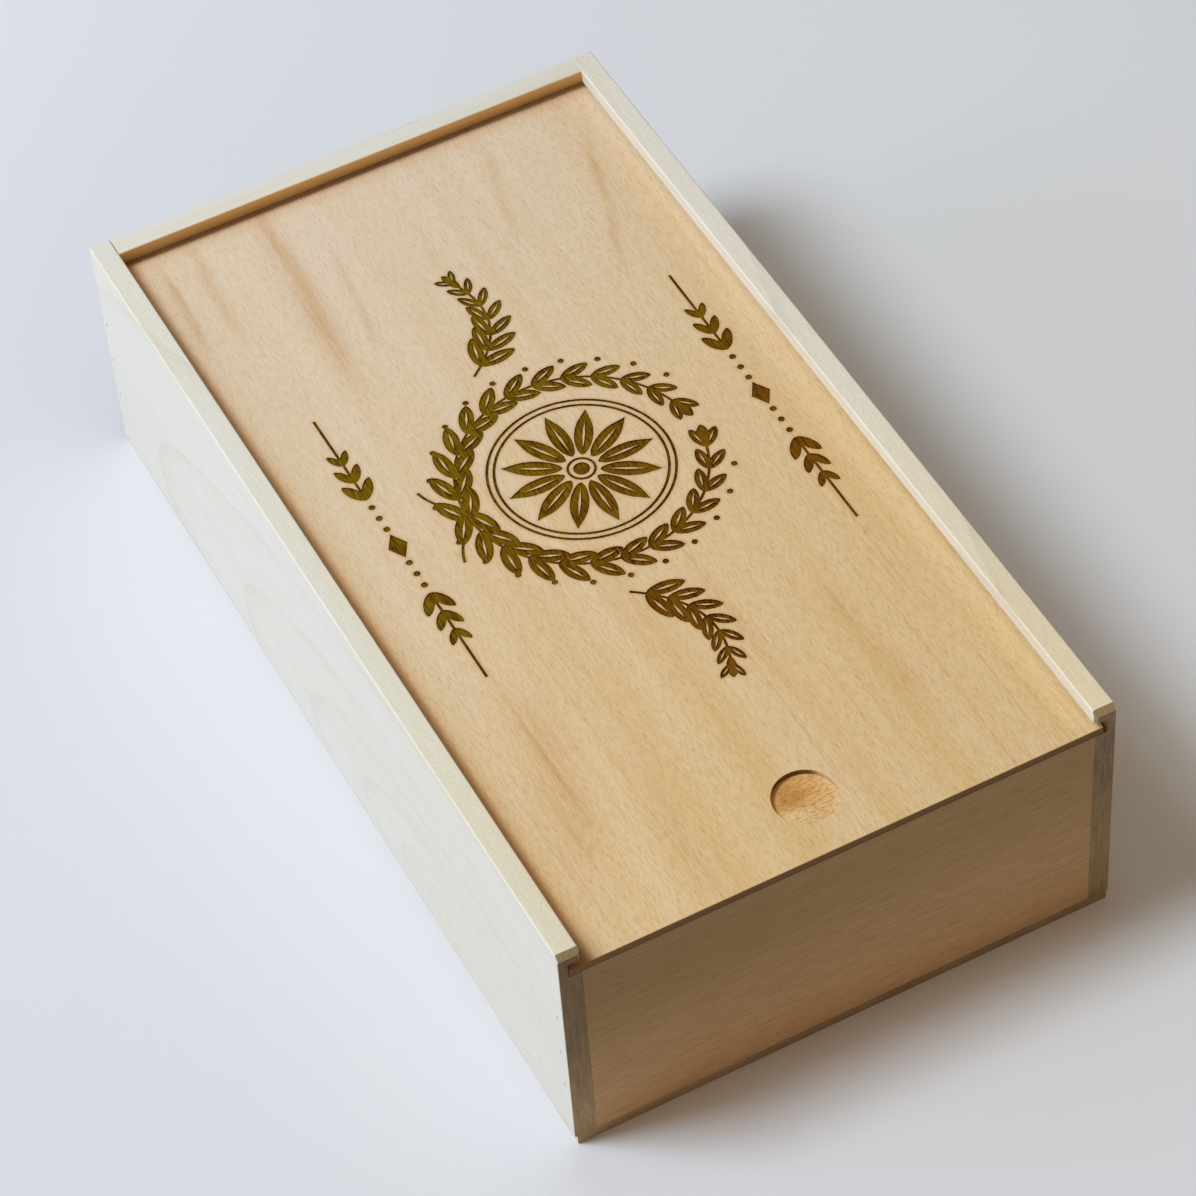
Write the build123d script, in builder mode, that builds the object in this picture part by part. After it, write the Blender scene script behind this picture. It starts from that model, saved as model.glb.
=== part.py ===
"""Wooden gift box with a sliding plywood lid.

Four boards stand on a thin bottom panel: two grooved sides that run the full length, a
low front wall and a grooved rear wall between them. Brads hold the corners and the
bottom. The lid is a sheet of three plies that slides out to the front.

Millimetres. +X is the box's right, +Y its rear and +Z up. The origin is at the middle
of the underside.
"""

import os

from build123d import *

# Box
box_width = 200.0
box_length = 360.0
side_height = 95.0
side_thickness = 8.0
front_thickness = 8.0
rear_thickness = 8.0
edge_round = 0.6

# Bottom panel, under the walls, as long as the box and a little narrower
bottom_thickness = 4.0
bottom_side_inset = 0.9

# Groove for the lid, and the lip above it
lip_height = 4.9
groove_height = 6.1
groove_depth = 4.5
lip_bevel = 2.0
lip_lead_in = 1.0

# Lid, three plies
face_ply = 0.8
core_ply = 1.6
back_ply = 0.8
lid_left_play = 0.3
lid_right_play = 1.3
lid_rear_play = 0.5
lid_arris = 0.4

# Finger recess in the lid
recess_diameter = 22.0
recess_depth = 2.2
recess_cove = 0.5
recess_setback = 23.0

# Brads: flat wire with a small cross head, driven a little below the surface
brad_length = 25.0
brad_width = 1.2
brad_thickness = 1.2
brad_head_width = 1.9
brad_head_height = 0.7
brad_point = 1.5
brad_sink = 0.1
brad_fit = 0.02

# Brads in the corners and along the bottom edges
corner_brad_count = 3
corner_brad_margin = 24.0
side_brad_count = 5
side_brad_margin = 30.0
end_brad_count = 3
end_brad_margin = 32.0

# Places that several pieces share
box_height = bottom_thickness + side_height
inner_width = box_width - 2 * side_thickness
groove_roof = box_height - lip_height
groove_floor = groove_roof - groove_height
front_height = groove_floor - bottom_thickness
front_face = -box_length / 2
rear_face = box_length / 2
rear_inner_face = rear_face - rear_thickness
lid_top = groove_floor + back_ply + core_ply + face_ply
lid_left = -inner_width / 2 - groove_depth + lid_left_play
lid_right = inner_width / 2 + groove_depth - lid_right_play
lid_rear = rear_inner_face + groove_depth - lid_rear_play
lid_middle = (lid_left + lid_right) / 2
front_middle = front_face + front_thickness / 2
rear_middle = rear_face - rear_thickness / 2
side_middle = box_width / 2 - side_thickness / 2


def evenly(first, last, count):
    """Return count places from first to last."""
    step = (last - first) / max(count - 1, 1)
    return [first + step * index for index in range(count)]


# A brad seen from its broad side: it enters the wood at the origin and points along +X
head_start = brad_sink
head_end = head_start + brad_head_height
tip = head_start + brad_length
with BuildSketch() as brad:
    with BuildLine():
        Polyline(
            (head_start, -brad_head_width / 2),
            (head_end, -brad_head_width / 2),
            (head_end, -brad_width / 2),
            (tip - brad_point, -brad_width / 2),
            (tip, 0),
            (tip - brad_point, brad_width / 2),
            (head_end, brad_width / 2),
            (head_end, brad_head_width / 2),
            (head_start, brad_head_width / 2),
            close=True,
        )
    make_face()

# The hole that it makes, open to the surface
with BuildSketch() as brad_hole:
    Rectangle(2 * (head_end + brad_fit), brad_head_width + 2 * brad_fit)
    Rectangle(tip + brad_fit, brad_width + 2 * brad_fit, align=(Align.MIN, Align.CENTER))

corner_heights = evenly(
    bottom_thickness + corner_brad_margin, groove_floor - corner_brad_margin, corner_brad_count
)
side_places = evenly(front_face + side_brad_margin, rear_face - side_brad_margin, side_brad_count)
end_places = evenly(
    -inner_width / 2 + end_brad_margin, inner_width / 2 - end_brad_margin, end_brad_count
)


def corner_set(outline, thickness):
    """Return one solid per corner brad, driven inwards from the side boards' outer faces."""
    from_left = [Location((-box_width / 2, height)) for height in corner_heights]
    from_right = [Location((box_width / 2, height), 180) for height in corner_heights]
    with BuildPart() as brads:
        for wall_middle in (front_middle, rear_middle):
            with BuildSketch(Plane.XZ.offset(-wall_middle)):
                with Locations(*from_left, *from_right):
                    add(outline)
            extrude(amount=thickness / 2, both=True)
    return brads.part


def bottom_set(outline, thickness):
    """Return one solid per bottom brad, driven upwards from the bottom panel's underside."""
    with BuildPart() as brads:
        for board_middle in (-side_middle, side_middle):
            with BuildSketch(Plane.YZ.offset(board_middle)):
                with Locations(*[Location((place, 0), 90) for place in side_places]):
                    add(outline)
            extrude(amount=thickness / 2, both=True)
        for wall_middle in (front_middle, rear_middle):
            with BuildSketch(Plane.XZ.offset(-wall_middle)):
                with Locations(*[Location((place, 0), 90) for place in end_places]):
                    add(outline)
            extrude(amount=thickness / 2, both=True)
    return brads.part


hole_thickness = brad_thickness + 2 * brad_fit
corner_holes = corner_set(brad_hole.sketch, hole_thickness)
bottom_holes = bottom_set(brad_hole.sketch, hole_thickness)

# Bottom panel
with BuildPart() as bottom_panel:
    Box(
        box_width - 2 * bottom_side_inset,
        box_length,
        bottom_thickness,
        align=(Align.CENTER, Align.CENTER, Align.MIN),
    )
    add(bottom_holes, mode=Mode.SUBTRACT)

# Left side: the grooved section runs the whole length, with a bevel across its top front corner
with BuildPart() as left_side:
    with BuildSketch(Plane.XZ.offset(-front_face)):
        with Locations((-box_width / 2, bottom_thickness)):
            Rectangle(side_thickness, side_height, align=(Align.MIN, Align.MIN))
        with Locations((-inner_width / 2, groove_floor)):
            Rectangle(
                2 * groove_depth, groove_height, align=(Align.CENTER, Align.MIN), mode=Mode.SUBTRACT
            )
    extrude(amount=-box_length)
    front_edges = left_side.edges().group_by(Axis.Y)[0]
    chamfer(front_edges.filter_by(Axis.Z).sort_by(Axis.Z)[-1], lip_lead_in)
    front_edges = left_side.edges().group_by(Axis.Y)[0]
    chamfer(front_edges.filter_by(Axis.X).sort_by(Axis.Z)[-1], lip_bevel)
    top_edges = left_side.faces().sort_by(Axis.Z)[-1].edges()
    fillet(top_edges.filter_by(Axis.Y).sort_by(Axis.X)[-1], edge_round)
    fillet(left_side.faces().sort_by(Axis.X)[0].edges(), edge_round)
    add(corner_holes, mode=Mode.SUBTRACT)
    add(bottom_holes, mode=Mode.SUBTRACT)

# Right side, the same board the other way round
with BuildPart() as right_side:
    add(mirror(left_side.part, about=Plane.YZ, mode=Mode.PRIVATE))

# Front wall, between the sides and level with the groove's floor
with BuildPart() as front_wall:
    with BuildSketch(Plane.YZ):
        with Locations((front_face, bottom_thickness)):
            Rectangle(front_thickness, front_height, align=(Align.MIN, Align.MIN))
    extrude(amount=inner_width / 2, both=True)
    add(corner_holes, mode=Mode.SUBTRACT)
    add(bottom_holes, mode=Mode.SUBTRACT)

# Rear wall, between the sides and as high as they are, grooved in line with them
with BuildPart() as rear_wall:
    with BuildSketch(Plane.YZ):
        with Locations((rear_inner_face, bottom_thickness)):
            Rectangle(rear_thickness, side_height, align=(Align.MIN, Align.MIN))
        with Locations((rear_inner_face, groove_floor)):
            Rectangle(
                2 * groove_depth, groove_height, align=(Align.CENTER, Align.MIN), mode=Mode.SUBTRACT
            )
    extrude(amount=inner_width / 2, both=True)
    fillet(rear_wall.faces().sort_by(Axis.Z)[-1].edges().filter_by(Axis.X), edge_round)
    add(corner_holes, mode=Mode.SUBTRACT)
    add(bottom_holes, mode=Mode.SUBTRACT)

# Brads
corner_brads = corner_set(brad.sketch, brad_thickness)
bottom_brads = bottom_set(brad.sketch, brad_thickness)

# Finger recess, cut from the lid's top through the face ply into the core, with a hollow round edge
with BuildPart() as recess:
    with BuildSketch(Plane.XY.offset(lid_top)):
        with Locations((lid_middle, front_face + recess_setback)):
            Circle(recess_diameter / 2)
    extrude(amount=-recess_depth)
    fillet(recess.edges().sort_by(Axis.Z)[0], recess_cove)


def lid_sheet(underside, thickness):
    """Return one ply of the lid with its share of the recess."""
    with BuildPart() as sheet:
        with BuildSketch(Plane.XY.offset(underside)):
            with Locations((lid_left, front_face)):
                Rectangle(lid_right - lid_left, lid_rear - front_face, align=(Align.MIN, Align.MIN))
        extrude(amount=thickness)
        add(recess.part, mode=Mode.SUBTRACT)
    return sheet.part


# Lid, glued up from the underside, with the face ply's front edge eased
with BuildPart() as lid_back_ply:
    add(lid_sheet(groove_floor, back_ply))

with BuildPart() as lid_core_ply:
    add(lid_sheet(groove_floor + back_ply, core_ply))

with BuildPart() as lid_face_ply:
    add(lid_sheet(lid_top - face_ply, face_ply))
    fillet(lid_face_ply.edges().group_by(Axis.Y)[0].sort_by(Axis.Z)[-1], lid_arris)

pieces = {
    "bottom_panel": bottom_panel.part,
    "left_side": left_side.part,
    "right_side": right_side.part,
    "front_wall": front_wall.part,
    "rear_wall": rear_wall.part,
    "corner_brads": corner_brads,
    "bottom_brads": bottom_brads,
    "lid_back_ply": lid_back_ply.part,
    "lid_core_ply": lid_core_ply.part,
    "lid_face_ply": lid_face_ply.part,
}

os.makedirs("parts", exist_ok=True)
for name, piece in pieces.items():
    piece.label = name
    export_step(piece, f"parts/{name}.step")
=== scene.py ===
import math

import bmesh
import bpy
from mathutils import Matrix, Vector, kdtree, noise
from mathutils.geometry import delaunay_2d_cdt


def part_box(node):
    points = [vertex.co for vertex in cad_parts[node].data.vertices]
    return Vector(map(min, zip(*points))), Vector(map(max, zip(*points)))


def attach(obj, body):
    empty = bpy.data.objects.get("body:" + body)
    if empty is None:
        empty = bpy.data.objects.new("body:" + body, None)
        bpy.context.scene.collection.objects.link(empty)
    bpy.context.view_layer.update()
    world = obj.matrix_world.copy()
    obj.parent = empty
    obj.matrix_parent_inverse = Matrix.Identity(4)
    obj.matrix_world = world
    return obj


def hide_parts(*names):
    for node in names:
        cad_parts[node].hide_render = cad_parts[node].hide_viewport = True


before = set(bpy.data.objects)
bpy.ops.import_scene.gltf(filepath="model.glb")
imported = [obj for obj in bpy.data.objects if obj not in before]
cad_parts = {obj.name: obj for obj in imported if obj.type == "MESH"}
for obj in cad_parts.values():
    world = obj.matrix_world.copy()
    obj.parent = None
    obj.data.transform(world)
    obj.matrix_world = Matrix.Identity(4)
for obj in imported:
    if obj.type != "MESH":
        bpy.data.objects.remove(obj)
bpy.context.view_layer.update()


# Bottom panel: a thin pale sheet, with its grain along the box, that closes the box from below.
# It is as long as the boards, cut a little narrower than the box and nailed up into them.

class Value:
    """An output of a node tree. Arithmetic on it adds Math nodes."""

    def __init__(self, nodes, socket):
        self.nodes = nodes
        self.socket = socket

    def also(self, output):
        """Return another output of the same node."""
        return Value(self.nodes, self.socket.node.outputs[output])

    def __add__(self, other):
        return self.nodes.maths("ADD", self, other)

    def __sub__(self, other):
        return self.nodes.maths("SUBTRACT", self, other)

    def __mul__(self, other):
        return self.nodes.maths("MULTIPLY", self, other)

    def __truediv__(self, other):
        return self.nodes.maths("DIVIDE", self, other)

    def __pow__(self, other):
        return self.nodes.maths("POWER", self, other)

    def __rsub__(self, other):
        return self.nodes.maths("SUBTRACT", other, self)

    def __rpow__(self, other):
        return self.nodes.maths("POWER", other, self)

    def __abs__(self):
        return self.nodes.maths("ABSOLUTE", self)

    __radd__ = __add__
    __rmul__ = __mul__


class Nodes:
    """A node tree, with one way to add a node to it."""

    def __init__(self, tree):
        self.tree = tree
        tree.nodes.clear()

    def add(self, kind, settings=None, sockets=None, output=0):
        """Add a node, set it up, fill its sockets and return one of its outputs."""
        node = self.tree.nodes.new(kind)
        for name, setting in (settings or {}).items():
            if name == "stops":
                stops = node.color_ramp.elements
                while len(stops) < len(setting):
                    stops.new(1.0)
                for stop, (position, colour) in zip(stops, setting):
                    stop.position = position
                    stop.color = (*colour, 1.0)
            else:
                setattr(node, name, setting)
        for name, value in (sockets or {}).items():
            if isinstance(value, Value):
                self.tree.links.new(value.socket, node.inputs[name])
            else:
                node.inputs[name].default_value = value
        return Value(self, node.outputs[output]) if node.outputs else None

    def maths(self, operation, *values):
        return self.add("ShaderNodeMath", {"operation": operation}, dict(enumerate(values)))


class Finish(Nodes):
    """A piece's material, patterned by the place on the piece in millimetres."""

    def __init__(self, name):
        self.material = bpy.data.materials.new(name)
        self.material.use_nodes = True
        super().__init__(self.material.node_tree)
        metres = self.add("ShaderNodeTexCoord", output="Object")
        self.place = self.add(
            "ShaderNodeVectorMath", {"operation": "SCALE"}, {0: metres, "Scale": 1000.0}
        )
        x = self.add("ShaderNodeSeparateXYZ", sockets={0: self.place})
        self.axes = {"x": x, "y": x.also("Y"), "z": x.also("Z")}
        facing = self.add("ShaderNodeSeparateXYZ", sockets={0: metres.also("Normal")})
        self.facing = {"x": facing, "y": facing.also("Y"), "z": facing.also("Z")}

    def noise(self, size, detail=1.0, seed=0.0):
        """Return noise from 0 to 1 with lumps of about this size in millimetres."""
        scaled = self.add(
            "ShaderNodeVectorMath",
            {"operation": "MULTIPLY_ADD"},
            {0: self.place, 1: [1.0 / length for length in size], 2: (seed, 1.7 * seed, 0.6 * seed)},
        )
        return self.add(
            "ShaderNodeTexNoise", {}, {"Vector": scaled, "Scale": 1.0, "Detail": detail}
        )

    def rise(self, value, low, high):
        """Return 0 below low, 1 above high and a smooth step between them."""
        return self.add(
            "ShaderNodeMapRange",
            {"interpolation_type": "SMOOTHSTEP"},
            {"Value": value, "From Min": low, "From Max": high},
        )

    def ramp(self, value, *stops):
        return self.add("ShaderNodeValToRGB", {"stops": stops}, {"Fac": value})

    def mix(self, amount, first, second, blend="MIX"):
        """Return the first colour with the second mixed in by the amount."""
        colours = {
            slot: colour if isinstance(colour, Value) else (*colour, 1.0)
            for slot, colour in ((6, first), (7, second))
        }
        settings = {"data_type": "RGBA", "blend_type": blend}
        return self.add("ShaderNodeMix", settings, {0: amount, **colours}, output=2)

    def surface(self, colour, roughness, relief, depth, **constants):
        """Close the material with a bump whose depth is in millimetres."""
        normal = self.add("ShaderNodeBump", {}, {"Height": relief, "Distance": depth / 1000})
        sockets = {"Base Color": colour, "Roughness": roughness, "Normal": normal}
        sockets.update((name.replace("_", " "), value) for name, value in constants.items())
        shader = self.add("ShaderNodeBsdfPrincipled", {}, sockets)
        self.add("ShaderNodeOutputMaterial", {}, {"Surface": shader})
        return self.material


def dress(node, material):
    """Give a CAD node its finish."""
    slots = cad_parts[node].data.materials
    slots.clear()
    slots.append(material)


def lengthwise(along, long, across):
    """Return a lump's size with its long side along the grain."""
    return [long if axis == along else across for axis in "xyz"]


panel = Finish("bare_panel")
panel_fibre = panel.noise(lengthwise("y", 14.0, 0.5), 2.0)
panel_streak = panel.noise(lengthwise("y", 140.0, 5.0), 2.0, 3.0)
panel_face = panel.ramp(
    0.5 + 0.9 * (panel_fibre - 0.5) + 1.0 * (panel_streak - 0.5),
    (0.2, (0.82, 0.77, 0.64)),
    (0.8, (0.71, 0.64, 0.49)),
)
panel_speck = panel.noise((0.9, 0.4, 0.3), 2.0, 5.0)
panel_blotch = panel.noise((24.0, 24.0, 24.0), 2.0, 7.0)
panel_edge = panel.ramp(
    0.6 * panel_speck + 0.5 * panel_blotch - 0.05,
    (0.3, (0.44, 0.33, 0.19)),
    (0.7, (0.27, 0.19, 0.10)),
)
# The cut edges are darker and cooler from the middle of the box to its right.
panel_edge_right_darkening = panel.rise(panel.axes["x"], -60.0, -25.0)
panel_edge = panel.mix(panel_edge_right_darkening, panel_edge, (0.82, 0.87, 0.95), "MULTIPLY")
panel_cut = panel.rise(abs(panel.facing["y"]), 0.55, 0.85)
dress(
    "bottom_panel",
    panel.surface(
        panel.mix(panel_cut, panel_face, panel_edge),
        0.62 + 0.15 * (panel_fibre - 0.5),
        panel_fibre,
        0.1,
        Specular_IOR_Level=0.3,
    ),
)


# Side boards: pale close-grained boards that run the full length of the box, planed and sanded.
# A groove under each top edge holds the lid; its inside is painted brown as shade. The ends show bare
# end grain, darker in front and high up as painted shade and lighter at the foot as painted light
# thrown up from the floor.
# The top edges are painted warmer in front as warm light, and the right board a little lighter as
# painted light.

# End grain's share of the face colour; part of its darkness is painted shade, as the front ends stand
# in shade, and the rear ends are painted lighter again below.
END_GRAIN_AND_SHADE_LIGHT = (0.36, 0.275, 0.147)
END_GRAIN_AND_SHADE_DARK = (0.209, 0.152, 0.083)


def board(name, axes, pith, lean, years, light, dark, lines, streaks, fibres, grit):
    """Return a bare planed board, cut from rings about a pith that leans along it.

    Its axes run along the grain, across the face and through the board. It comes back open."""
    wood = Finish(name)
    along = axes[0]
    length, width, depth = (wood.axes[axis] for axis in axes)
    wander = wood.noise(lengthwise(along, 150.0, 45.0), 1.0, 1.0) - 0.5
    ripple = wood.noise(lengthwise(along, 30.0, 7.0), 1.0, 2.0) - 0.5
    off_across = width - pith[0]
    off_through = depth - pith[1] - lean * length
    radius = wood.maths("SQRT", off_across * off_across + off_through * off_through)
    radius = radius + 9.0 * wander + 1.2 * ripple
    late = wood.maths("FRACT", years(radius)) ** 9.0
    fine = wood.maths("FRACT", radius / 2.6) ** 3.0
    fibre = wood.noise(lengthwise(along, 11.0, 0.4), 2.0, 6.0) - 0.5
    streak = wood.noise(lengthwise(along, 110.0, 2.4), 2.0, 8.0) - 0.5
    cloud = wood.noise(lengthwise(along, 300.0, 30.0), 1.0, 4.0) - 0.5
    yellow = wood.noise(lengthwise(along, 70.0, 7.0), 2.0, 5.0)
    pores = wood.noise((0.4, 0.4, 0.4), 2.0, 9.0) - 0.5
    tone = 0.35 + lines * late + streaks * (0.10 * fine + 0.9 * streak + 0.8 * cloud)
    tone = tone + fibres * fibre + grit * pores
    ring_size = dict(zip(axes, (60.0, 11.0, 1.3)))
    ring = wood.noise([ring_size[axis] for axis in "xyz"], 2.0, 3.0) - 0.5
    grey = 0.5 + 1.7 * pores + 0.12 * (fine - 0.3) + 1.3 * ring + 1.2 * cloud
    face = wood.mix(
        0.4 * wood.rise(yellow, 0.42, 0.66),
        wood.ramp(tone, (0.0, light), (1.0, dark)),
        (0.98, 0.95, 0.84),
        "MULTIPLY",
    )
    cut = wood.ramp(
        grey,
        (0.0, [share * channel for share, channel in zip(END_GRAIN_AND_SHADE_LIGHT, light)]),
        (1.0, [share * channel for share, channel in zip(END_GRAIN_AND_SHADE_DARK, dark)]),
    )
    end = wood.rise(abs(wood.facing[along]), 0.52, 0.82)
    wood.colour = wood.mix(end, face, cut)
    wood.rough = 0.55 + 0.2 * fibre
    wood.relief = 0.75 * fibre + 0.25 * late
    return wood


def planed(wood):
    """Close a board's finish as planed and sanded wood."""
    return wood.surface(wood.colour, wood.rough, wood.relief, 0.06, Specular_IOR_Level=0.35)


def widening_years(radius):
    """Return years that widen outwards, as in a quickly grown tree."""
    return radius.nodes.maths("LOGARITHM", radius, 1.40)


def stain(wood, amount, tint):
    """Multiply the wood's colour by a tint, by an amount from 0 to 1."""
    wood.colour = wood.mix(amount, wood.colour, tint, "MULTIPLY")


GROOVE_FLOOR = 88.0
GROOVE_ROOF = 94.1
GROOVE_DEPTH = 4.5


def paint_groove_shade(wood, face_gap):
    """Paint shade into the board's groove as a brown, by the gap between the groove's mouth and a spot
    in it.
    """
    height = wood.axes["z"]
    above_floor = wood.rise(height, GROOVE_FLOOR - 0.2, GROOVE_FLOOR)
    below_roof = 1 - wood.rise(height, GROOVE_ROOF - 0.2, GROOVE_ROOF)
    past_mouth = wood.rise(face_gap, 0.05, 0.4)
    within_depth = 1 - wood.rise(face_gap, GROOVE_DEPTH + 0.1, GROOVE_DEPTH + 0.4)
    stain(wood, above_floor * below_roof * past_mouth * within_depth, (0.30, 0.21, 0.13))


PALE = (0.85, 0.83, 0.72)
# The right board is painted a little lighter, as painted light, since the window's light reaches it
# more weakly.
PALE_RIGHT_WITH_PAINTED_LIGHT = (0.935, 0.895, 0.76)
PALE_GROWTH = (0.75, 0.705, 0.57)
SIDE = {
    "axes": "yzx", "years": widening_years, "dark": PALE_GROWTH,
    "lines": 0.45, "streaks": 0.4, "fibres": 1.3, "grit": 0.6,
}
INNER_FACE = 92.0
# Each side: its pith and how that leans, its wood, the painted warm light on its top edge in front, and
# the painted light at the foot of its front end and the painted shade high up on it
SIDES = (
    ("left", (19.0, -136.5), -0.30, PALE, (1.0, 0.96, 0.84), (1.85, 1.95, 2.05), (0.78, 0.74, 0.66)),
    ("right", (52.0, 150.0), 0.22, PALE_RIGHT_WITH_PAINTED_LIGHT, (1.05, 0.955, 0.77), (1.3, 1.3, 1.5), (1.0, 0.98, 1.08)),
)
for side, pith, lean, light, front_warmth, foot_light, brow_shade in SIDES:
    wood = board(f"{side}_board", pith=pith, lean=lean, light=light, **SIDE)
    top = wood.rise(wood.facing["z"], 0.5, 0.9)
    # The top edges are painted warmer towards the front, as painted warm light from the room in front.
    warm_front = top * (1 - wood.rise(wood.axes["y"], -170.0, 60.0))
    stain(wood, warm_front, front_warmth)
    # The rear ends are painted lighter again, since the painted shade in the end grain belongs to the
    # front ends.
    rear_end = wood.rise(wood.facing["y"], 0.52, 0.82)
    stain(wood, rear_end, (1.6, 1.75, 2.1))
    # The front end is painted lighter at its foot, as light thrown up from the floor, and darker high
    # up, as shade.
    forward = 0 - wood.facing["y"]
    front_end = wood.rise(forward, 0.75, 0.92)
    stain(wood, front_end * (1 - wood.rise(wood.axes["z"], -10.0, 45.0)), foot_light)
    stain(wood, front_end * wood.rise(wood.axes["z"], 42.0, 80.0), brow_shade)
    bevel = wood.rise(forward, 0.55, 0.68) * (1 - wood.rise(forward, 0.73, 0.85))
    stain(wood, bevel, (0.94, 0.835, 0.70))
    rubbed = top * wood.rise(wood.noise((0.9, 0.9, 0.9), 3.0, 10.0), 0.45, 0.75)
    stain(wood, 0.5 * rubbed, (0.80, 0.74, 0.60))
    paint_groove_shade(wood, abs(wood.axes["x"]) - INNER_FACE)
    dress(f"{side}_side", planed(wood))


# Front wall: a lower board nailed between the sides, level with the grooves so that the lid passes it.
# It is browner than the sides, partly its wood and partly painted shade, and is painted darker towards
# its top as shade, with fine straight grain across the box.

front = board(
    "front_board", "xzy", pith=(-190.0, -300.0), lean=0.03, years=lambda radius: radius / 11.0,
    light=(0.60, 0.41, 0.21), dark=(0.44, 0.28, 0.125), lines=0.14, streaks=0.4, fibres=2.4, grit=2.0,
)
# Painted shade darkens the board towards its top; it is darker still at its top left.
front_top_shade = front.rise(front.axes["z"], 4.0, 80.0)
stain(front, front_top_shade, (0.655, 0.655, 0.52))
front_top_left_darkening = front_top_shade * (1 - front.rise(front.axes["x"], -100.0, 60.0))
stain(front, front_top_left_darkening, (0.83, 0.82, 0.73))
dress("front_wall", planed(front))


# Rear wall: as high as the sides and grooved in line with them, so that the lid stops in it.
# It is the same pale wood with the grain across the box; its lip's inner face is painted orange-brown
# as shade lit by warm light thrown up from the lid, darker towards the lid, and its groove is painted
# brown as shade.

rear = board(
    "rear_board", "xzy", pith=(20.0, 250.0), lean=0.05, years=lambda radius: radius / 6.0,
    light=PALE, dark=PALE_GROWTH, lines=0.3, streaks=0.7, fibres=1.3, grit=0.6,
)
# The lip's inner face is painted orange-brown, as shade lit by warm light from the lid, and darker low
# down by the lid, as shade.
rear_lip_shade_and_bounce = rear.rise(0 - rear.facing["y"], 0.5, 0.9) * rear.rise(rear.axes["z"], 91.0, 93.0)
stain(rear, rear_lip_shade_and_bounce, (0.98, 0.645, 0.305))
rear_lip_low_shade = rear_lip_shade_and_bounce * (1 - rear.rise(rear.axes["z"], 93.8, 98.2))
stain(rear, rear_lip_low_shade, (0.54, 0.45, 0.36))
REAR_INNER_FACE = 172.0
paint_groove_shade(rear, rear.axes["y"] - REAR_INNER_FACE)
dress("rear_wall", planed(rear))


# Brads: short wire nails with small cross heads, shot in through the sides and up through the bottom.
# They are drawn steel wire, dull and a little stained, and sit just below the wood.

wire = Finish("dull_wire")
wire_mark = wire.noise((0.5, 0.5, 0.5), 3.0)
wire_stain = wire.ramp(wire_mark, (0.35, (0.77, 0.76, 0.71)), (0.7, (0.62, 0.59, 0.53)))
wire_finish = wire.surface(wire_stain, 0.5 + 0.3 * wire_mark, wire_mark, 0.03, Metallic=0.1)
dress("corner_brads", wire_finish)
dress("bottom_brads", wire_finish)


# Lid, back ply: a thin sheet of beech glued under the core, with its grain along the box.
# Beech shows short dark dashes all over. The cut front edge is darker than the sheet, and darker still
# as painted shade under the lid.

def beech(name, along):
    """Return a beech finish that is still open, with its figure, its dashes and its relief."""
    wood = Finish(name)
    band = wood.rise(wood.noise(lengthwise(along, 420.0, 15.0), 2.0, 11.0), 0.40, 0.60) - 0.5
    streak = wood.noise(lengthwise(along, 120.0, 3.0), 2.0, 12.0) - 0.5
    wood.figure = 0.36 + 0.26 * band + 0.50 * streak
    fibre = wood.noise(lengthwise(along, 5.0, 0.3), 2.0, 13.0) - 0.5
    dash = wood.rise(wood.noise(lengthwise(along, 4.2, 0.25), 0.0, 14.0), 0.46, 0.74)
    fleck = wood.rise(wood.noise(lengthwise(along, 2.4, 0.20), 0.0, 15.0), 0.50, 0.76)
    wood.dashes = 0.28 * dash + 0.26 * fleck + 0.95 * fibre
    wood.rough = 0.50 + 0.3 * wood.dashes
    wood.relief = 0 - wood.dashes
    wood.speck = wood.noise((0.3, 0.3, 0.3), 2.0, 16.0)
    wood.end = wood.rise(abs(wood.facing["y"]), 0.55, 0.85)
    return wood


def sanded(wood, colour, cut):
    """Close a ply's finish, with its dashes, and with its front and rear edges as cut."""
    dashed = wood.mix(wood.dashes, colour, (0.62, 0.44, 0.24), "MULTIPLY")
    edge = wood.ramp(wood.speck, (0.3, cut), (0.7, [0.7 * channel for channel in cut]))
    mixed = wood.mix(wood.end, dashed, edge)
    return wood.surface(mixed, wood.rough, wood.relief, 0.04, Specular_IOR_Level=0.3)


BEECH = ((0.0, (0.86, 0.66, 0.37)), (0.5, (0.755, 0.48, 0.155)), (1.0, (0.64, 0.34, 0.09)))
# The back ply's cut edge is darker than the other plies' edges, as painted shade under the lid.
BACK_EDGE_SHADED = (0.15, 0.075, 0.012)
back = beech("beech_back", "y")
dress("lid_back_ply", sanded(back, back.ramp(0.5 * back.figure, *BEECH), BACK_EDGE_SHADED))


# Lid, core ply: the thick middle sheet of the lid, beech with its grain across the box.
# It shows as a redder band along the lid's edge and as the stained floor of the finger recess, with
# painted shade by the recess's rear left wall, and the recess's wall that faces the window painted
# darker as shade.

CORE_EDGE = (0.20, 0.095, 0.014)
core = beech("beech_core", "x")


def blush(wood, centre, spread):
    """Return 1 at a spot on a ply, falling to 0 over its spread along x and y."""
    off_x = (wood.axes["x"] - centre[0]) / spread[0]
    off_y = (wood.axes["y"] - centre[1]) / spread[1]
    return 0.5 ** (off_x * off_x + off_y * off_y)


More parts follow.
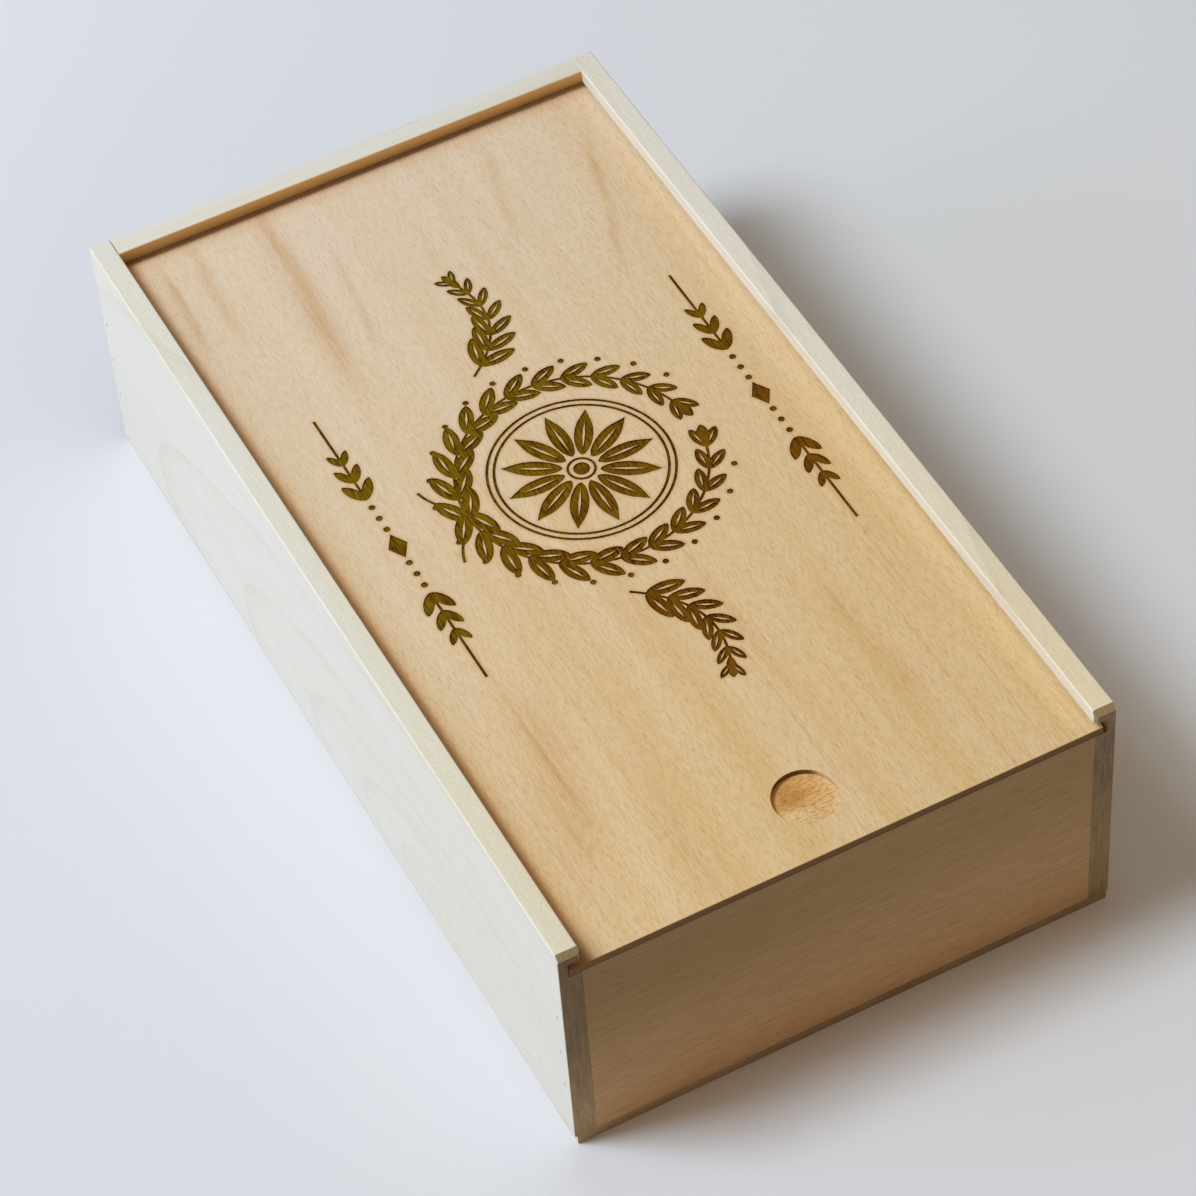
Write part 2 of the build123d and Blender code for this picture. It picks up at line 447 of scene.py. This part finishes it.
# Each stain in the recess: where it is, how far it spreads and how dark it is, or how pale; the third
# is painted shade by the recess's rear left wall
CORE_STAINS_AND_SHADE = (
    ((-3.5, -154.5), (6.0, 3.2), 0.9),
    ((-7.5, -160.5), (4.5, 2.5), -0.5),
    ((-5.5, -148.0), (7.0, 3.2), 0.65),
    ((-2.0, -158.2), (0.9, 0.7), 0.5),
)
core_stain_and_shade = sum(depth * blush(core, centre, spread) for centre, spread, depth in CORE_STAINS_AND_SHADE)
core_face = core.ramp(
    0.02 + 0.5 * core.figure + 0.6 * core_stain_and_shade,
    (0.0, (0.92, 0.68, 0.36)),
    (0.5, (0.79, 0.45, 0.14)),
    (1.0, (0.53, 0.22, 0.055)),
)
# The recess's wall that faces the window is painted darker and less orange than its floor, as shade
# against the window's light.
core_window_wall_shade = core.rise(0 - core.facing["x"], 0.1, 0.5)
core_face = core.mix(core_window_wall_shade, core_face, (0.68, 0.50, 0.27))
core_fleck = core.rise(core.noise(lengthwise("x", 1.7, 0.5), 1.0, 17.0), 0.52, 0.66)
core.dashes = 1.2 * core.dashes + 0.6 * core_fleck
dress("lid_core_ply", sanded(core, core_face, CORE_EDGE))


# Lid, face ply: the show veneer, a quiet sheet of beech with a few brown veins, glued on the core.
# A round recess is bored through it for a finger, and an ornament is burnt into its middle.

FACE_EDGE = (0.215, 0.108, 0.014)
FACE_LOW, FACE_HIGH = (limit * 1000 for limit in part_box("lid_face_ply"))
ARRIS = 0.4
ARRIS_STEPS = 5
RECESS_CENTRE = (-0.5, -157.0)
RECESS_RADIUS = 11.0
RECESS_STEPS = 96
BURN_DEPTH = 0.45
ORNAMENT_CENTRE = (4.0, 4.0)
FRAY_STEP = 0.5
FRAY = 0.16
SCORCH_REACH = 1.3
SCORCH_STEP = 0.85
SCORCH_CLEAR = 0.3
SCORCH_BORDER = 2
CELLS_INSIDE = 1
WELD = 0.0005
FAR_GAP = 5.0


class Shape(Nodes):
    """A Geometry Nodes tree that lays flat shapes along a guide line."""

    def __init__(self, name, **inputs):
        super().__init__(bpy.data.node_groups.new(name, "GeometryNodeTree"))
        kinds = {int: "NodeSocketInt", float: "NodeSocketFloat", None: "NodeSocketGeometry"}
        self.sockets = {}
        for label, kind in {"Guide": None, **inputs}.items():
            socket = self.tree.interface.new_socket(label, in_out="INPUT", socket_type=kinds[kind])
            self.sockets[label] = socket.identifier
        self.tree.interface.new_socket("Shapes", in_out="OUTPUT", socket_type=kinds[None])
        guide = self.add("NodeGroupInput", output="Guide")
        self.given = {label: guide.also(label) for label in inputs}
        self.line = self.add("GeometryNodeMeshToCurve", {}, {"Mesh": guide})

    def close(self, geometry, material):
        """End the tree with plain mesh in one material."""
        plain = self.add("GeometryNodeRealizeInstances", {}, {"Geometry": geometry})
        painted = self.add("GeometryNodeSetMaterial", {}, {"Geometry": plain, "Material": material})
        self.add("NodeGroupOutput", {}, {"Shapes": painted})

    def cut(self, guide, closed=False, **values):
        """Lay the shapes along the guide's points and return each one's outline."""
        mesh = bpy.data.meshes.new("guide")
        last = len(guide) if closed else len(guide) - 1
        edges = [(index, (index + 1) % len(guide)) for index in range(last)]
        mesh.from_pydata([(u, v, 0.0) for u, v in guide], edges, [])
        stand = bpy.data.objects.new("guide", mesh)
        bpy.context.scene.collection.objects.link(stand)
        modifier = stand.modifiers.new("shapes", "NODES")
        modifier.node_group = self.tree
        for label, value in values.items():
            modifier[self.sockets[label]] = value
        seen = stand.evaluated_get(bpy.context.evaluated_depsgraph_get())
        flat = bpy.data.meshes.new_from_object(seen)
        stand.modifiers.remove(modifier)
        outlines = [
            [tuple(flat.vertices[index].co.xy) for index in face.vertices] for face in flat.polygons
        ]
        bpy.data.objects.remove(stand)
        bpy.data.meshes.remove(mesh)
        bpy.data.meshes.remove(flat)
        return outlines


burnt = Finish("burnt_beech")
burnt_gap = burnt.add("ShaderNodeAttribute", {"attribute_name": "edge_gap"}, output="Fac")
# The burnt floor is darker near its walls, partly scorched there and partly painted shade from the
# walls.
burnt_rim_scorch_and_shade = 1 - burnt.rise(burnt_gap, 0.0, 0.8)
burnt_fibre = burnt.noise(lengthwise("y", 6.0, 0.4), 2.0, 21.0)
burnt_pore = burnt.rise(burnt.noise(lengthwise("y", 3.2, 0.45), 1.0, 22.0), 0.56, 0.70)
burnt_patch = burnt.noise((10.0, 16.0, 10.0), 2.0, 23.0)
# Towards the rear left the burn is painted lighter and more olive as a painted sheen, in random
# patches; towards the front right it is redder.
burnt_sheen_side = burnt.rise(
    0.55 * burnt.axes["x"] - 0.6 * burnt.axes["y"] + 90.0 * (burnt_patch - 0.5), -50.0, 60.0
)
burnt_tone = 0.26 + 2.6 * (burnt_fibre - 0.5) + 0.8 * (burnt_patch - 0.5) + 0.4 * burnt_pore
burnt_tone = burnt_tone + 0.30 * burnt_rim_scorch_and_shade
burnt_finish = burnt.surface(
    burnt.mix(
        burnt_sheen_side,
        burnt.ramp(burnt_tone, (0.0, (0.235, 0.138, 0.004)), (1.0, (0.060, 0.022, 0.001))),
        burnt.ramp(burnt_tone, (0.0, (0.215, 0.085, 0.004)), (1.0, (0.053, 0.012, 0.001))),
    ),
    0.9 - 0.1 * burnt_pore,
    burnt_fibre - burnt_pore,
    0.08,
    Specular_IOR_Level=0.02,
)

# One motif of the ornament: petals, leaves, dots or lozenges set along a line at an angle to it
motif = Shape(
    "motif_row", Count=int, Corners=int, Length=float, Width=float, Point=float, Turn=float,
    Offset=float, Last=float,
)
motif_stand = motif.add(
    "GeometryNodeCurveToPoints",
    {"mode": "COUNT"},
    {"Curve": motif.line, "Count": motif.given["Count"]},
)
motif_way = motif.add("ShaderNodeSeparateXYZ", {}, {0: motif_stand.also("Tangent")})
motif_angle = motif.maths("ARCTAN2", motif_way.also("Y"), motif_way) + motif.given["Turn"]
motif_last = motif.maths("MAXIMUM", motif.given["Count"] - 1, 1)
motif_size = 1 + (motif.given["Last"] - 1) * (motif.add("GeometryNodeInputIndex") / motif_last)
motif_ring = motif.add(
    "GeometryNodeCurvePrimitiveCircle",
    {"mode": "RADIUS"},
    {"Resolution": motif.given["Corners"], "Radius": 1.0},
)
motif_spot = motif.add("ShaderNodeSeparateXYZ", {}, {0: motif.add("GeometryNodeInputPosition")})
motif_rise = motif_spot.also("Y")
motif_edge = motif.add(
    "ShaderNodeCombineXYZ",
    {},
    {
        "X": motif.given["Offset"] + motif.given["Length"] * (0.5 + 0.5 * motif_spot),
        "Y": 0.5 * motif.given["Width"] * motif_rise * abs(motif_rise) ** motif.given["Point"],
    },
)
motif_outline = motif.add(
    "GeometryNodeSetPosition", {}, {"Geometry": motif_ring, "Position": motif_edge}
)
motif_flat = motif.add("GeometryNodeFillCurve", {"mode": "NGONS"}, {"Curve": motif_outline})
motif.close(
    motif.add(
        "GeometryNodeInstanceOnPoints",
        {},
        {
            "Points": motif_stand,
            "Instance": motif_flat,
            "Rotation": motif.add("ShaderNodeCombineXYZ", {}, {"Z": motif_angle}),
            "Scale": motif.add(
                "ShaderNodeCombineXYZ", {}, {"X": motif_size, "Y": motif_size, "Z": 1.0}
            ),
        },
    ),
    burnt_finish,
)

# One line of the ornament, of even width or narrowing from its middle to both ends
rule = Shape("ruled_line", Width=float, Ends=float)
rule_swell = 1 - abs(2 * rule.add("GeometryNodeSplineParameter") - 1) ** 2
rule_width = rule.given["Width"] * (rule.given["Ends"] + (1 - rule.given["Ends"]) * rule_swell)
rule_level = rule.add("GeometryNodeSetCurveNormal", {"mode": "Z_UP"}, {"Curve": rule.line})
rule_line = rule.add(
    "GeometryNodeSetCurveRadius", {}, {"Curve": rule_level, "Radius": rule_width}
)
rule_profile = rule.add(
    "GeometryNodeCurvePrimitiveLine", {}, {"Start": (-0.5, 0.0, 0.0), "End": (0.5, 0.0, 0.0)}
)
rule.close(
    rule.add("GeometryNodeCurveToMesh", {}, {"Curve": rule_line, "Profile Curve": rule_profile}),
    burnt_finish,
)


def arc(radius, start, end, steps):
    """Return points on a circle about the ornament's middle, by angles in degrees."""
    angles = [math.radians(start + (end - start) * step / steps) for step in range(steps + 1)]
    return [(radius * math.cos(angle), radius * math.sin(angle)) for angle in angles]


def circle(radius, steps):
    """Return points all round that circle."""
    return arc(radius, 0.0, 360.0, steps)[:-1]


def flow(points, steps):
    """Return points on a smooth curve pulled by these four guide points."""
    first, second, third, fourth = (Vector(point) for point in points)
    curve = []
    for step in range(steps + 1):
        share = step / steps
        rest = 1 - share
        near = rest ** 3 * first + 3 * rest ** 2 * share * second
        far = 3 * rest * share ** 2 * third + share ** 3 * fourth
        curve.append(tuple(near + far))
    return curve


def sided(hand, points):
    """Return the points on this hand's side of the ornament, drawn for the right one."""
    return [(hand * u, v) for u, v in points]


PETAL_RING = circle(6.4, 72)
WREATH_RADIUS = 43.0
RULE_HEIGHTS = (-69.0, 69.0)
LEAF = {"Corners": 28, "Point": 0.35, "Offset": 0.0}
RIB = {"Corners": 4, "Point": 0.0}
DOT = {"Corners": 20, "Point": 0.0, "Turn": 0.0, "Last": 1.0}
ONE = {"Count": 1, "Turn": 0.0, "Last": 1.0}
OUTWARDS = -math.pi / 2
burns = []
ribs = []

# Rosette of twelve petals inside a double ring
burns += motif.cut(
    PETAL_RING, True, Count=12, Length=19.0, Width=6.6, Corners=32, Point=0.25, Turn=OUTWARDS,
    Offset=0.0, Last=1.0,
)
ribs += motif.cut(
    PETAL_RING, True, Count=12, Length=12.5, Width=0.9, Turn=OUTWARDS, Offset=3.0, Last=1.0, **RIB
)
burns += motif.cut(
    circle(20.8, 144), True, Count=12, Length=6.6, Width=3.0, Corners=4, Point=0.0, Turn=OUTWARDS,
    Offset=0.0, Last=1.0,
)
burns += motif.cut([(-2.9, 0.0), (2.9, 0.0)], Count=1, Length=5.8, Width=5.8, Offset=0.0, **DOT)
for radius, width in ((4.7, 0.7), (29.6, 0.6), (32.0, 1.3)):
    burns += rule.cut(circle(radius, 120), True, Width=width, Ends=1.0)

# Wreath of leaves round it, on two stems that cross at the bottom, and a sprig on either side
for hand in (1.0, -1.0):
    stem = sided(hand, arc(WREATH_RADIUS, -93.0, 73.0, 60))
    burns += rule.cut(stem, Width=1.0, Ends=0.6)
    for turn in (0.48, -0.48):
        burns += motif.cut(stem, Count=13, Length=15.0, Width=6.2, Turn=turn, Last=0.66, **LEAF)
        ribs += motif.cut(
            stem, Count=13, Length=8.5, Width=0.9, Turn=turn, Offset=3.6, Last=0.66, **RIB
        )
    tip = sided(hand, arc(WREATH_RADIUS, 73.0, 77.0, 2))
    burns += motif.cut(tip, Length=10.5, Width=4.6, **ONE, **LEAF)
    berries = sided(hand, arc(51.4, -80.0, 62.0, 60))
    burns += motif.cut(berries, Count=11, Length=2.2, Width=2.2, Offset=-1.1, **DOT)
    tail = sided(hand, flow([(0.5, -42.6), (7.0, -47.0), (10.0, -51.0), (18.0, -53.0)], 12))
    burns += rule.cut(tail, Width=1.8, Ends=0.4)

    sprig = sided(hand, flow([(57.0, -12.0), (68.0, 3.0), (82.0, 10.0), (101.0, 2.0)], 40))
    burns += rule.cut(sprig, Width=1.2, Ends=0.5)
    for turn in (0.62, -0.62):
        burns += motif.cut(
            sprig[4:], Count=7, Length=14.0, Width=5.4, Turn=turn, Last=0.5, **LEAF
        )
        ribs += motif.cut(
            sprig[4:], Count=7, Length=8.0, Width=0.9, Turn=turn, Offset=3.2, Last=0.5, **RIB
        )
    burns += motif.cut(sprig[-3:], Length=9.0, Width=3.6, **ONE, **LEAF)

    # Half of the rules above and below, with dots and leaves beside a lozenge
    for height in RULE_HEIGHTS:
        dots = sided(hand, [(8.6, height), (20.0, height)])
        burns += motif.cut(dots, Count=3, Length=2.4, Width=2.4, Offset=-1.2, **DOT)
        burns += rule.cut(sided(hand, [(24.0, height), (66.0, height)]), Width=1.3, Ends=0.3)
        for turn in (0.5, -0.5):
            burns += motif.cut(
                sided(hand, [(24.0, height), (42.0, height)]), Count=3, Length=10.5, Width=4.0,
                Turn=turn, Last=0.7, **LEAF,
            )
for height in RULE_HEIGHTS:
    burns += motif.cut(
        [(-6.0, height), (6.0, height)], Length=12.0, Width=7.0, Offset=0.0, Corners=4, Point=0.0, **ONE
    )


def frayed(outline):
    """Return an outline in small steps on the lid, ragged along the grain as a laser leaves it.

    The ornament is read with the recess at its right: its own right is the lid's front."""
    placed = [Vector((ORNAMENT_CENTRE[0] + v, ORNAMENT_CENTRE[1] - u)) for u, v in outline]
    ragged = []
    for start, end in zip(placed, placed[1:] + placed[:1]):
        steps = max(1, math.ceil((end - start).length / FRAY_STEP))
        for step in range(steps):
            spot = start.lerp(end, step / steps)
            shift = noise.noise(Vector((spot.x / 0.35, spot.y / 1.5, 3.0)))
            ragged.append(spot + Vector((0.0, FRAY * shift)))
    return ragged


def anticlockwise(outline):
    """Return the outline turned the way that its inside is on the left."""
    around = zip(outline, outline[1:] + outline[:1])
    area = sum(start.cross(end) for start, end in around)
    return outline if area > 0 else outline[::-1]


flat_front = FACE_LOW.y + ARRIS
field = [
    Vector((FACE_LOW.x, flat_front)),
    Vector((FACE_HIGH.x, flat_front)),
    Vector((FACE_HIGH.x, FACE_HIGH.y)),
    Vector((FACE_LOW.x, FACE_HIGH.y)),
]
recess = [Vector(RECESS_CENTRE) + Vector(spot) for spot in circle(RECESS_RADIUS, RECESS_STEPS)]
# The loops are numbered: the field is 0, the recess is next, then come the ribs and the burnt shapes
RECESS = 1
RIBS = range(2, 2 + len(ribs))
spots = []
loops = []
for outline in (field, recess, *map(frayed, ribs + burns)):
    loops.append(list(range(len(spots), len(spots) + len(outline))))
    spots.extend(anticlockwise(outline))

# Spots on a grid beside every edge of the ornament, so that the scorching can fade away from it
edge_first = loops[RIBS.start][0]
edges = kdtree.KDTree(len(spots) - edge_first)
for index in range(edge_first, len(spots)):
    edges.insert((*spots[index], 0.0), index)
edges.balance()
lows, highs = (
    [int(pick(spot[axis] for spot in spots[edge_first:]) / SCORCH_STEP) for axis in (0, 1)]
    for pick in (min, max)
)
for column in range(lows[0] - SCORCH_BORDER, highs[0] + SCORCH_BORDER + 1):
    for row in range(lows[1] - SCORCH_BORDER, highs[1] + SCORCH_BORDER + 1):
        spot = Vector((column * SCORCH_STEP, row * SCORCH_STEP))
        gap = edges.find((*spot, 0.0))[2]
        if SCORCH_CLEAR < gap < SCORCH_REACH + 1.5 * SCORCH_STEP:
            spots.append(spot)
spots, _, cells, _, _, origins = delaunay_2d_cdt(spots, [], loops, CELLS_INSIDE, WELD)

# Cells in a motif are burnt down, the rest of the field is left standing, and the recess is open
face_mesh = bmesh.new()
TOP, BURNT, OPEN = FACE_HIGH.z, FACE_HIGH.z - BURN_DEPTH, FACE_LOW.z
corners = {}


def corner(spot, height):
    """Return the vertex over this spot at this height."""
    if (spot, height) not in corners:
        corners[spot, height] = face_mesh.verts.new((*spots[spot], height))
    return corners[spot, height]


levels = {}
for cell, origin in zip(cells, origins):
    if RECESS in origin:
        level = OPEN
    elif len(origin) > 1 and not any(loop in RIBS for loop in origin):
        level = BURNT
    else:
        level = TOP
    for start, end in zip(cell, cell[1:] + cell[:1]):
        levels[start, end] = level
    if level != OPEN:
        face = face_mesh.faces.new([corner(spot, level) for spot in cell])
        face.material_index = 1 if level == BURNT else 0
walled = set()
for (start, end), level in levels.items():
    lower = levels.get((end, start), level)
    if lower < level:
        wall = [(start, level), (start, lower), (end, lower), (end, level)]
        face = face_mesh.faces.new([corner(*place) for place in wall])
        face.material_index = 1 if lower == BURNT else 0
        if lower == BURNT:
            walled.update((start, end))

# Sides, eased front edge and underside
front_left, front_right, rear_right, rear_left = (
    min(range(len(spots)), key=lambda spot: (spots[spot] - place).length) for place in field
)
eased = [math.pi / 2 * step / ARRIS_STEPS for step in range(1, ARRIS_STEPS + 1)]
drop = [(flat_front - ARRIS * math.sin(turn), TOP - ARRIS + ARRIS * math.cos(turn)) for turn in eased]
drop.append((FACE_LOW.y, FACE_LOW.z))
left_nose, right_nose = (
    [corner(spot, TOP)] + [face_mesh.verts.new((spots[spot].x, y, z)) for y, z in drop]
    for spot in (front_left, front_right)
)
for step in range(len(drop)):
    face_mesh.faces.new(
        [left_nose[step], left_nose[step + 1], right_nose[step + 1], right_nose[step]]
    )
rear_feet = [corner(rear_right, OPEN), corner(rear_left, OPEN)]
face_mesh.faces.new([corner(rear_right, TOP), *rear_feet, corner(rear_left, TOP)])
face_mesh.faces.new([corner(rear_left, TOP), rear_feet[1], *reversed(left_nose)])
face_mesh.faces.new([corner(rear_right, TOP), *right_nose, rear_feet[0]])
mouth = [
    vertex for (_, height), vertex in corners.items() if height == OPEN and vertex not in rear_feet
]
mouth.sort(
    key=lambda vertex: math.atan2(
        vertex.co.y - RECESS_CENTRE[1], vertex.co.x - RECESS_CENTRE[0]
    )
)
under = [right_nose[-1], *rear_feet, left_nose[-1]]
rims = [
    face_mesh.edges.get(pair) or face_mesh.edges.new(pair)
    for loop in (under, mouth)
    for pair in zip(loop, loop[1:] + loop[:1])
]
bmesh.ops.triangle_fill(face_mesh, use_beauty=True, edges=rims)
bmesh.ops.recalc_face_normals(face_mesh, faces=face_mesh.faces[:])

# How far each spot is from the nearest burnt wall, for the scorching
walls = kdtree.KDTree(len(walled))
for spot in walled:
    walls.insert((*spots[spot], 0.0), spot)
walls.balance()
edge_gap = face_mesh.verts.layers.float.new("edge_gap")
for vertex in face_mesh.verts:
    vertex[edge_gap] = min(FAR_GAP, walls.find((vertex.co.x, vertex.co.y, 0.0))[2])
bmesh.ops.scale(face_mesh, vec=(0.001, 0.001, 0.001), verts=face_mesh.verts[:])
lid_mesh = bpy.data.meshes.new("lid_veneer")
face_mesh.to_mesh(lid_mesh)
face_mesh.free()

veneer = beech("beech_face", "y")
x, y = veneer.axes["x"], veneer.axes["y"]
vein_sway = 5.0 * (veneer.noise(lengthwise("y", 38.0, 18.0), 1.0, 31.0) - 0.5)
vein_grain = 0.5 + 0.6 * veneer.rise(veneer.noise(lengthwise("y", 60.0, 2.2), 2.0, 32.0), 0.34, 0.66)
veining = 0.0
# Each vein: where it starts at the rear, where it ends, its half width and how dark it is, or how pale
VEINS = (
    ((-37.0, 195.0), (-46.0, 60.0), 3.4, 0.66),
    ((-65.5, 180.0), (-69.5, 110.0), 1.8, 0.75),
    ((-79.0, 172.0), (-83.0, 110.0), 1.8, 0.60),
    ((-23.5, 155.0), (-31.0, 82.0), 1.5, 0.45),
    ((50.0, 172.0), (32.0, 104.0), 2.0, 0.32),
    ((88.0, 170.0), (57.0, 66.0), 1.8, 0.50),
    ((-56.0, -60.0), (-74.0, -160.0), 6.5, 0.50),
    ((-44.5, -45.0), (-57.5, -215.0), 3.4, -0.30),
    ((-38.0, -105.0), (-44.0, -190.0), 2.2, 0.30),
    ((46.0, -70.0), (53.0, -160.0), 4.0, 0.36),
    ((14.0, -40.0), (20.0, -150.0), 2.4, 0.24),
)
for (x_start, y_start), (x_end, y_end), half_width, depth in VEINS:
    slope = (x_end - x_start) / (y_end - y_start)
    off = (x - x_start - slope * (y - y_start) + vein_sway) / half_width
    fade = 0.35 * (y_start - y_end)
    there = veneer.rise(y, y_end, y_end + fade) * (1 - veneer.rise(y, y_start - fade, y_start))
    veining = veining + depth * there * 0.5 ** (off * off) * vein_grain
# Towards the rear the veneer is painted paler and cooler, with fainter dashes and hairlines, as a
# painted sheen; towards the front it is plain golden beech.
rear_sheen = veneer.rise(y - 0.9 * x, -160.0, 230.0)
hairline = veneer.rise(veneer.noise(lengthwise("y", 110.0, 1.5), 1.0, 33.0), 0.60, 0.74)
veining = veining + 0.25 * (1 - rear_sheen) * hairline
veneer.dashes = (1 - 0.22 * rear_sheen) * veneer.dashes
rear_face_sheen = veneer.ramp(
    0.06 + 0.32 * veneer.figure,
    (0.0, (0.865, 0.75, 0.605)),
    (0.5, (0.765, 0.57, 0.31)),
    (1.0, (0.65, 0.40, 0.155)),
)
pale_vein = veneer.maths("MINIMUM", veining, 0.0)
front_face = veneer.ramp(0.5 * (veneer.figure + pale_vein), *BEECH)
veneer.colour = veneer.mix(rear_sheen, front_face, rear_face_sheen)
stain(veneer, veining, (0.80, 0.60, 0.37))
# The margins by the left and rear lips are painted brown as shade, and the front left corner beside the
# lip's end is painted darker and less orange as shade
lip_shade = (1 - veneer.rise(x, -93.0, -81.5)) + 0.42 * veneer.rise(y, 164.0, 173.0)
stain(veneer, lip_shade, (0.87, 0.59, 0.33))
corner_shade = (1 - veneer.rise(x, -93.0, -80.0)) * (1 - veneer.rise(y, -178.0, -160.0))
stain(veneer, corner_shade, (0.60, 0.68, 0.95))
veneer_gap = veneer.add("ShaderNodeAttribute", {"attribute_name": "edge_gap"}, output="Fac")
scorch = 0.34 * (1 - veneer.rise(veneer_gap, 0.0, SCORCH_REACH))
scorched = veneer.mix(scorch, veneer.colour, (0.58, 0.29, 0.08))
lid_mesh.materials.append(sanded(veneer, scorched, FACE_EDGE))
lid_mesh.materials.append(burnt_finish)
lid_veneer = bpy.data.objects.new("lid_veneer", lid_mesh)
bpy.context.scene.collection.objects.link(lid_veneer)
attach(lid_veneer, "lid")
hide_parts("lid_face_ply")


# Floor: a plain pale matt sheet that the box stands on, a hair below it so that no faces coincide.
# It is painted a little greyer beside the box, on the left, as painted shade that tempers the window's
# light, which is strongest there.

FLOOR_GREYEST = (-160.0, 20.0)
floor_paint = Finish("pale_floor")
floor_off_x = floor_paint.axes["x"] - FLOOR_GREYEST[0]
floor_off_y = floor_paint.axes["y"] - FLOOR_GREYEST[1]
floor_far = floor_paint.maths("SQRT", floor_off_x * floor_off_x + floor_off_y * floor_off_y)
floor_shade_tone = floor_paint.rise(floor_far, 100.0, 560.0)
floor_finish = floor_paint.surface(
    floor_paint.ramp(floor_shade_tone, (0.0, (0.715, 0.72, 0.725)), (1.0, (0.93, 0.96, 0.965))),
    0.85,
    floor_shade_tone,
    0.0,
)
FLOOR_REACH = 3.0
FLOOR_LEVEL = -0.0002
floor_mesh = bpy.data.meshes.new("floor")
floor_mesh.from_pydata(
    [(u * FLOOR_REACH, v * FLOOR_REACH, FLOOR_LEVEL) for u, v in ((-1, -1), (1, -1), (1, 1), (-1, 1))],
    [],
    [(0, 1, 2, 3)],
)
floor_mesh.materials.append(floor_finish)
floor = bpy.data.objects.new("floor", floor_mesh)
bpy.context.scene.collection.objects.link(floor)


# Light: a soft window of two panes high on the left, and a cool glow low on the left.
# A warm ceiling, a dim room in front and the world fill the shade.

BOX_MIDDLE = Vector((0.0, 0.0, 0.05))


def lamp(name, place, width, height, power, colour):
    """Add a soft rectangular lamp that faces the box."""
    light = bpy.data.lights.new(name, "AREA")
    light.shape = "RECTANGLE"
    light.size = width
    light.size_y = height
    light.energy = power
    light.color = colour
    stand = bpy.data.objects.new(name, light)
    stand.location = place
    stand.rotation_euler = (BOX_MIDDLE - Vector(place)).to_track_quat("-Z", "Y").to_euler()
    bpy.context.scene.collection.objects.link(stand)


lamp("window_outer_pane", (-0.95, 0.22, 1.50), 0.5, 0.5, 14.4, (0.80, 0.89, 1.0))
lamp("window_inner_pane", (-0.78, 0.20, 1.60), 0.65, 0.65, 9.6, (0.80, 0.89, 1.0))
lamp("left_glow", (-1.25, 0.45, 0.50), 0.7, 0.7, 5.6, (0.57, 0.66, 1.0))
lamp("ceiling", (0.00, -0.20, 1.80), 1.2, 1.2, 3.4, (1.0, 0.82, 0.64))
lamp("front_room", (-0.40, -1.30, 0.35), 0.8, 0.5, 1.6, (1.0, 0.45, 0.15))
world = bpy.data.worlds.new("room")
bpy.context.scene.world = world
world.use_nodes = True
sky = Nodes(world.node_tree)
sky_light = sky.add("ShaderNodeBackground", {}, {"Color": (1.0, 0.8, 0.6, 1.0), "Strength": 0.15})
sky.add("ShaderNodeOutputWorld", {}, {"Surface": sky_light})
bpy.context.scene.view_settings.view_transform = "Standard"


# Camera: above the front left corner of the box, as far off as the perspective asks.
# It has a long lens and leans a little to one side.

CAMERA_PLACE = Vector((-0.41538, -0.93993, 1.19844))
CAMERA_AIM = Vector((-0.00342, -0.01706, 0.050))
CAMERA_LENS = 135.32
CAMERA_ROLL = -4.81
eye = bpy.data.cameras.new("camera")
eye.sensor_width = 36.0
eye.lens = CAMERA_LENS
eye.clip_start = 0.01
camera = bpy.data.objects.new("camera", eye)
look = (CAMERA_AIM - CAMERA_PLACE).to_track_quat("-Z", "Y").to_matrix().to_4x4()
camera.matrix_world = (
    Matrix.Translation(CAMERA_PLACE) @ look @ Matrix.Rotation(math.radians(CAMERA_ROLL), 4, "Z")
)
bpy.context.scene.collection.objects.link(camera)
bpy.context.scene.camera = camera
